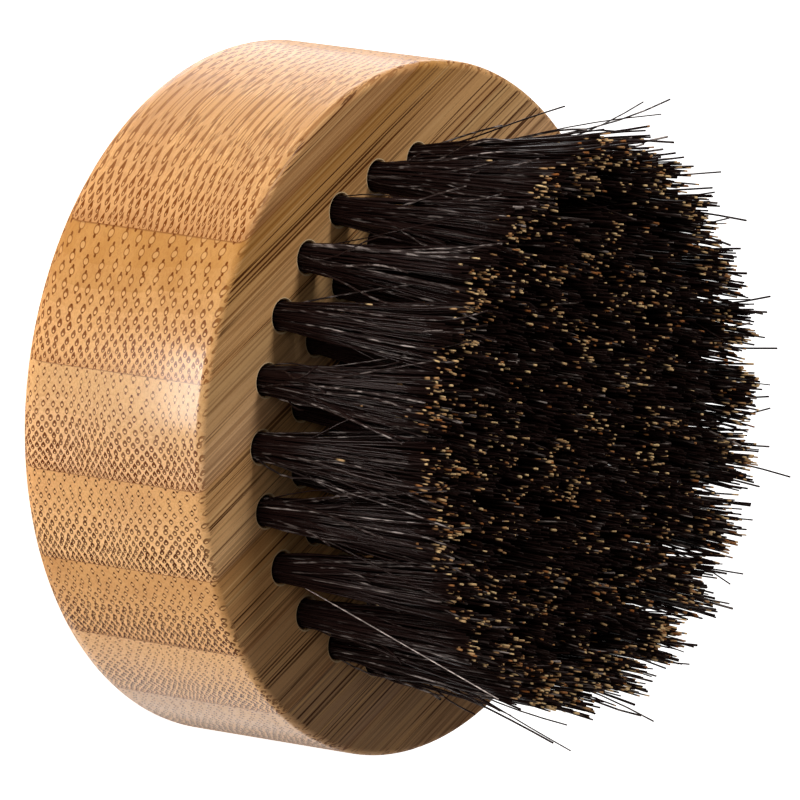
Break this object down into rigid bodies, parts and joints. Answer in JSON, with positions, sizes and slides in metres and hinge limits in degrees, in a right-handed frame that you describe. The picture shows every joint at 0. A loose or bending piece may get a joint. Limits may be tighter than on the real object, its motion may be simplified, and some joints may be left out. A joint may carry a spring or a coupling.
{
  "type": "beard brush",
  "caption": "Palm-sized round beard brush: a short laminated bamboo body with dense dark bristle tufts set in rings of blind holes in its front face.",
  "frame": {"origin": "centre of the flat wooden back, in its plane", "axes": "+Z out of the front face, the way the bristles point; X along the bamboo fibres; Y across the glued strips"},
  "size_m": [0.06, 0.06, 0.0391],
  "materials": {
    "bamboo": "fine-sanded bamboo with a thin satin lacquer",
    "bristle": "stiff dark brown boar-type bristle with paler cut tips",
    "anchor_wire": "drawn flat wire"
  },
  "bodies": {
    "root": {"bamboo_strip_1": "bamboo", "bamboo_strip_2": "bamboo", "bamboo_strip_3": "bamboo", "bamboo_strip_4": "bamboo", "bamboo_strip_5": "bamboo", "bamboo_strip_6": "bamboo", "bamboo_strip_7": "bamboo", "bamboo_strip_8": "bamboo", "outer_tuft_01": "bristle", "outer_tuft_02": "bristle", "outer_tuft_03": "bristle", "outer_tuft_04": "bristle", "outer_tuft_05": "bristle", "outer_tuft_06": "bristle", "outer_tuft_07": "bristle", "outer_tuft_08": "bristle", "outer_tuft_09": "bristle", "outer_tuft_10": "bristle", "outer_tuft_11": "bristle", "outer_tuft_12": "bristle", "outer_tuft_13": "bristle", "outer_tuft_14": "bristle", "outer_tuft_15": "bristle", "outer_tuft_16": "bristle", "outer_tuft_17": "bristle", "outer_tuft_18": "bristle", "outer_tuft_19": "bristle", "outer_tuft_20": "bristle", "outer_tuft_21": "bristle", "outer_tuft_22": "bristle", "outer_tuft_23": "bristle", "outer_tuft_24": "bristle", "third_ring_tuft_01": "bristle", "third_ring_tuft_02": "bristle", "third_ring_tuft_03": "bristle", "third_ring_tuft_04": "bristle", "third_ring_tuft_05": "bristle", "third_ring_tuft_06": "bristle", "third_ring_tuft_07": "bristle", "third_ring_tuft_08": "bristle", "third_ring_tuft_09": "bristle", "third_ring_tuft_10": "bristle", "third_ring_tuft_11": "bristle", "third_ring_tuft_12": "bristle", "third_ring_tuft_13": "bristle", "third_ring_tuft_14": "bristle", "third_ring_tuft_15": "bristle", "third_ring_tuft_16": "bristle", "third_ring_tuft_17": "bristle", "third_ring_tuft_18": "bristle", "second_ring_tufts": "bristle", "first_ring_tufts": "bristle", "centre_tuft": "bristle", "outer_ring_anchors": "anchor_wire", "third_ring_anchors": "anchor_wire", "second_ring_anchors": "anchor_wire", "first_ring_anchors": "anchor_wire", "centre_anchor": "anchor_wire"}
  },
  "joints": []
}
